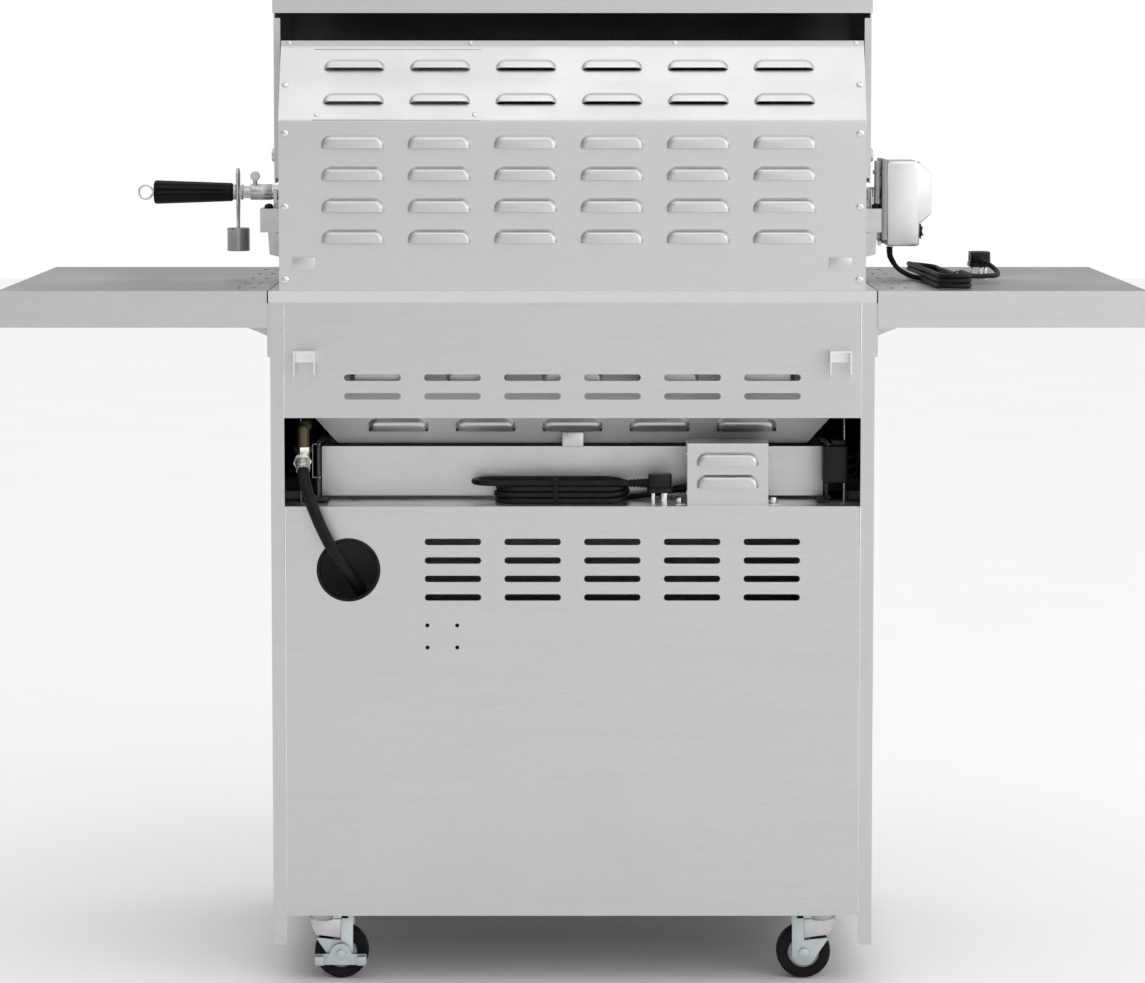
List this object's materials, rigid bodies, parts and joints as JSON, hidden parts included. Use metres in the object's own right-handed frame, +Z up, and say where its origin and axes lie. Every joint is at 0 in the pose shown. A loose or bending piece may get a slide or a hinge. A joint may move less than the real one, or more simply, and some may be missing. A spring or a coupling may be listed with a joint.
{
  "type": "gas barbecue oven with rotisserie",
  "caption": "Freestanding stainless gas barbecue oven on a wheeled cart, with a curved lid, side shelves, a cupboard, and a motor-driven spit with a counterweight.",
  "frame": {"origin": "on the floor under the middle of the oven's bounding box, cords left out", "axes": "+Z up, +X to the user's right along the spit towards its handle, -Y towards the user and the lid's front"},
  "size_m": [1.344, 0.6, 1.171],
  "materials": {
    "brushed_steel": "fine horizontal brushed grain",
    "satin_steel": "satin, nearly grainless",
    "zinc_plate": "bright zinc plating",
    "wheel_rubber": "matt tread",
    "black_rubber": "matt, slightly glossy hose",
    "black_cord": "smooth flexible sheath",
    "black_plastic": "fine moulded texture",
    "black_grip": "fluted grip, semi-matt",
    "cast_grate": "porcelain enamel, satin",
    "brass": "machined"
  },
  "bodies": {
    "root": {"cart_side_left": "brushed_steel", "cart_side_right": "brushed_steel", "cart_floor": "brushed_steel", "inner_frame": "brushed_steel", "rear_panel": "brushed_steel", "upper_rear_panel": "brushed_steel", "tool_hooks": "brushed_steel", "hose_grommet": "black_rubber", "shelf_left": "brushed_steel", "shelf_right": "brushed_steel", "shelf_brackets": "brushed_steel", "firebox": "brushed_steel", "hood_back": "brushed_steel", "access_cover": "brushed_steel", "rear_burner": "brushed_steel", "burners": "brushed_steel", "flame_tamers": "brushed_steel", "cooking_grates": "cast_grate", "gas_manifold": "brass", "control_panel": "brushed_steel", "spit_brackets": "brushed_steel", "motor_housing": "satin_steel", "transformer_box": "brushed_steel", "gas_elbow": "brass", "gas_regulator": "zinc_plate", "gas_hose": "black_rubber", "mains_cord": "black_cord", "mains_hank": "black_cord", "mains_plug": "black_plastic", "motor_cord": "black_cord", "motor_hank": "black_cord", "motor_plug": "black_plastic"},
    "lid": {"lid_shell": "brushed_steel", "lid_ends": "brushed_steel", "lid_handle": "brushed_steel", "thermometer": "brushed_steel"},
    "spit": {"spit_rod": "brushed_steel", "spit_handle": "black_grip", "counterweight": "brushed_steel", "meat_forks": "brushed_steel"},
    "drive": {"drive_socket": "brushed_steel"},
    "switch": {"motor_switch": "black_plastic"},
    "door_left": {"door_left": "brushed_steel"},
    "door_right": {"door_right": "brushed_steel"},
    "tray": {"grease_tray": "brushed_steel"},
    "knob_1": {"knob_1": "brushed_steel"},
    "knob_2": {"knob_2": "brushed_steel"},
    "knob_rear": {"knob_rear": "brushed_steel"},
    "knob_3": {"knob_3": "brushed_steel"},
    "knob_4": {"knob_4": "brushed_steel"},
    "fork_rear_left": {"fork_rear_left": "zinc_plate"},
    "wheel_rear_left": {"wheel_rear_left": "wheel_rubber"},
    "fork_rear_right": {"fork_rear_right": "zinc_plate"},
    "wheel_rear_right": {"wheel_rear_right": "wheel_rubber"},
    "fork_front_left": {"fork_front_left": "zinc_plate"},
    "wheel_front_left": {"wheel_front_left": "wheel_rubber"},
    "fork_front_right": {"fork_front_right": "zinc_plate"},
    "wheel_front_right": {"wheel_front_right": "wheel_rubber"},
    "brake_rear_right": {"brake_rear_right": "zinc_plate"},
    "brake_front_left": {"brake_front_left": "zinc_plate"}
  },
  "joints": [
    {"name": "lid_hinge", "type": "hinge", "parent": "root", "child": "lid", "pos_m": [0, 0.16, 0.985], "axis": [-1, 0, 0], "range_deg": [0, 80]},
    {"name": "spit_spin", "type": "hinge", "parent": "root", "child": "spit", "pos_m": [0, 0.022, 0.936], "axis": [1, 0, 0], "continuous": true},
    {"name": "drive_spin", "type": "hinge", "parent": "root", "child": "drive", "pos_m": [-0.38, 0.022, 0.936], "axis": [1, 0, 0], "continuous": true},
    {"name": "motor_switch_rock", "type": "hinge", "parent": "root", "child": "switch", "pos_m": [-0.4255, 0.022, 0.888], "axis": [0, 1, 0], "range_deg": [0, 12]},
    {"name": "knob_1_turn", "type": "hinge", "parent": "root", "child": "knob_1", "pos_m": [-0.255, -0.275, 0.745], "axis": [0, -1, 0], "range_deg": [0, 200]},
    {"name": "knob_2_turn", "type": "hinge", "parent": "root", "child": "knob_2", "pos_m": [-0.085, -0.275, 0.745], "axis": [0, -1, 0], "range_deg": [0, 200]},
    {"name": "knob_rear_turn", "type": "hinge", "parent": "root", "child": "knob_rear", "pos_m": [0, -0.275, 0.745], "axis": [0, -1, 0], "range_deg": [0, 200]},
    {"name": "knob_3_turn", "type": "hinge", "parent": "root", "child": "knob_3", "pos_m": [0.085, -0.275, 0.745], "axis": [0, -1, 0], "range_deg": [0, 200]},
    {"name": "knob_4_turn", "type": "hinge", "parent": "root", "child": "knob_4", "pos_m": [0.255, -0.275, 0.745], "axis": [0, -1, 0], "range_deg": [0, 200]},
    {"name": "door_left_hinge", "type": "hinge", "parent": "root", "child": "door_left", "pos_m": [-0.346, -0.24, 0.33], "axis": [0, 0, -1], "range_deg": [0, 100]},
    {"name": "door_right_hinge", "type": "hinge", "parent": "root", "child": "door_right", "pos_m": [0.346, -0.24, 0.33], "axis": [0, 0, 1], "range_deg": [0, 100]},
    {"name": "tray_slide", "type": "slide", "parent": "root", "child": "tray", "axis": [0, -1, 0], "range_m": [0, 0.38]},
    {"name": "swivel_rear_left", "type": "hinge", "parent": "root", "child": "fork_rear_left", "pos_m": [-0.297, 0.207, 0.08], "axis": [0, 0, 1], "continuous": true},
    {"name": "roll_rear_left", "type": "hinge", "parent": "fork_rear_left", "child": "wheel_rear_left", "pos_m": [-0.277, 0.207, 0.0325], "axis": [0, 1, 0], "continuous": true},
    {"name": "swivel_rear_right", "type": "hinge", "parent": "root", "child": "fork_rear_right", "pos_m": [0.297, 0.207, 0.08], "axis": [0, 0, 1], "continuous": true},
    {"name": "roll_rear_right", "type": "hinge", "parent": "fork_rear_right", "child": "wheel_rear_right", "pos_m": [0.277, 0.207, 0.0325], "axis": [0, 1, 0], "continuous": true},
    {"name": "swivel_front_left", "type": "hinge", "parent": "root", "child": "fork_front_left", "pos_m": [-0.297, -0.163, 0.08], "axis": [0, 0, 1], "continuous": true},
    {"name": "roll_front_left", "type": "hinge", "parent": "fork_front_left", "child": "wheel_front_left", "pos_m": [-0.277, -0.163, 0.0325], "axis": [0, 1, 0], "continuous": true},
    {"name": "swivel_front_right", "type": "hinge", "parent": "root", "child": "fork_front_right", "pos_m": [0.297, -0.163, 0.08], "axis": [0, 0, 1], "continuous": true},
    {"name": "roll_front_right", "type": "hinge", "parent": "fork_front_right", "child": "wheel_front_right", "pos_m": [0.277, -0.163, 0.0325], "axis": [0, 1, 0], "continuous": true},
    {"name": "brake_rear_right_press", "type": "hinge", "parent": "fork_rear_right", "child": "brake_rear_right", "pos_m": [0.277, 0.207, 0.0325], "axis": [0, 1, 0], "range_deg": [0, 12]},
    {"name": "brake_front_left_press", "type": "hinge", "parent": "fork_front_left", "child": "brake_front_left", "pos_m": [-0.277, -0.163, 0.0325], "axis": [0, -1, 0], "range_deg": [0, 12]}
  ],
  "couplings": [
    {"joint": "drive_spin", "follows": "spit_spin", "ratio": 1}
  ]
}
